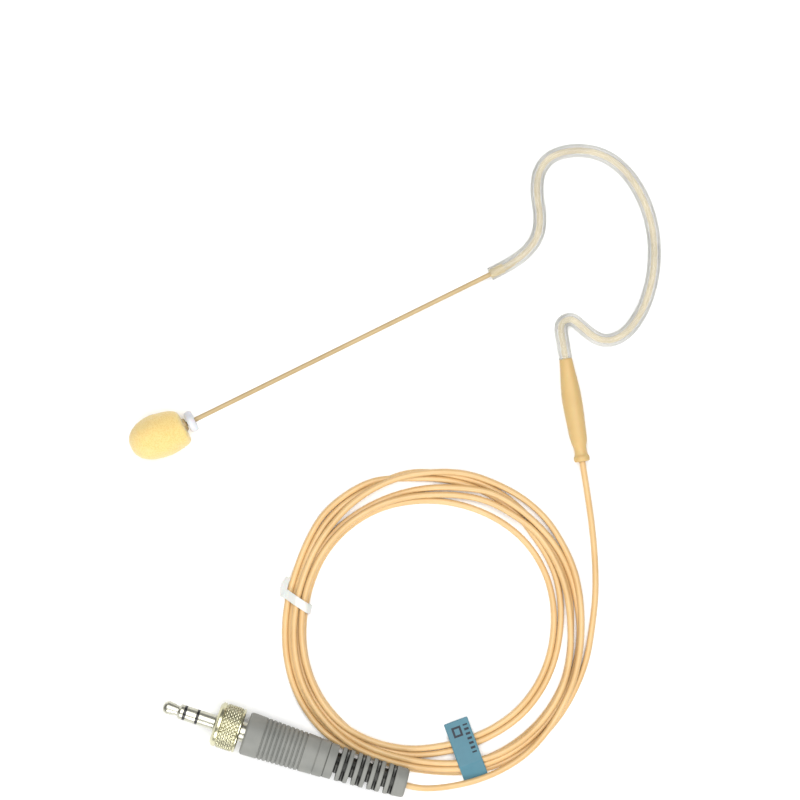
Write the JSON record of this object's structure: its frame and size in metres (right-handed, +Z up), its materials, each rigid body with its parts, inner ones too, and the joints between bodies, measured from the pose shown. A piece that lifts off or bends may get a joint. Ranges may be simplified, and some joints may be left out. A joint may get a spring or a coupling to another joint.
{
  "type": "headset microphone",
  "caption": "Single-ear boom microphone with foam windscreen, clear ear hook, thin coiled cable and a locking 3.5 mm plug.",
  "frame": {"origin": "on the table under the middle of the headset's own box, windscreen to moulded sleeve, without the free cable and its plug", "axes": "+X from the mouth towards the ear, +Y towards the top of the ear hook, +Z up from the table it lies on"},
  "size_m": [0.122, 0.1502, 0.0106],
  "materials": {
    "foam": "open-cell foam, soft and matt",
    "white_silicone": "soft satin",
    "clear_silicone": "clear, glossy",
    "boom_beige": "satin skin-tone lacquer",
    "core_beige": "satin skin-tone jacket",
    "sleeve_beige": "moulded, matt",
    "cable_beige": "smooth satin jacket",
    "capsule_metal": "satin",
    "insulation": "moulded",
    "board": "solder-masked board",
    "copper": "drawn wire",
    "tie_white": "smooth band",
    "label_blue": "satin film",
    "plug_grey": "fine moulded texture",
    "boot_grey": "matt moulded rubber",
    "nickel": "nickel plated, bright",
    "jack_metal": "nickel plated, polished",
    "spring_steel": "plain",
    "black_insulator": "smooth"
  },
  "bodies": {
    "headset": {"ear_tube": "clear_silicone", "hook_core": "core_beige", "junction_sleeve": "sleeve_beige", "core_ferrule": "capsule_metal", "cable_crimp": "capsule_metal", "junction_wires": "copper", "cable_lead": "cable_beige", "cable_coil": "cable_beige", "cable_tail": "cable_beige", "cable_in_boot": "cable_beige", "cable_tie": "tie_white", "label_tag": "label_blue", "plug_handle": "plug_grey", "strain_boot": "boot_grey", "cable_clamp": "nickel", "jack_sleeve": "jack_metal", "ring_contact": "jack_metal", "tip_contact": "jack_metal", "front_insulator": "black_insulator", "rear_insulator": "black_insulator", "tip_lug": "nickel", "ring_lug": "nickel", "sleeve_lug": "nickel", "tip_wire": "copper", "ring_wire": "copper", "sleeve_wire": "copper"},
    "boom": {"boom_tube": "boom_beige", "boom_wire": "copper", "tube_sleeve": "core_beige", "capsule_housing": "capsule_metal", "capsule_grille": "capsule_metal", "diaphragm_ring": "capsule_metal", "backplate_spacer": "insulation", "backplate": "capsule_metal", "backplate_holder": "insulation", "capsule_board": "board", "capsule_ferrule": "boom_beige"},
    "windscreen": {"windscreen": "foam"},
    "sweat_ring": {"sweat_ring": "white_silicone"},
    "nut_circlip": {"nut_circlip": "spring_steel"},
    "lock_nut": {"lock_nut": "nickel"}
  },
  "joints": [
    {"name": "boom_bend", "type": "hinge", "parent": "headset", "child": "boom", "pos_m": [0.0296, 0.0114, 0.0016], "axis": [0, 0, 1], "range_deg": [-20, 20], "deforming": ["ear_tube", "hook_core"]},
    {"name": "windscreen_pull", "type": "slide", "parent": "boom", "child": "windscreen", "axis": [-0.8957, -0.4425, 0.043], "range_m": [0, 0.012]},
    {"name": "sweat_ring_slide", "type": "slide", "parent": "boom", "child": "sweat_ring", "axis": [0.8957, 0.4425, -0.043], "range_m": [0, 0.04]},
    {"name": "lock_nut_slide", "type": "slide", "parent": "headset", "child": "nut_circlip", "axis": [-0.95, 0.3123, 0], "range_m": [-0.001, 0.0008]},
    {"name": "lock_nut_spin", "type": "hinge", "parent": "nut_circlip", "child": "lock_nut", "pos_m": [-0.0378, -0.09725, 0.0052], "axis": [-0.95, 0.3123, 0], "continuous": true}
  ]
}
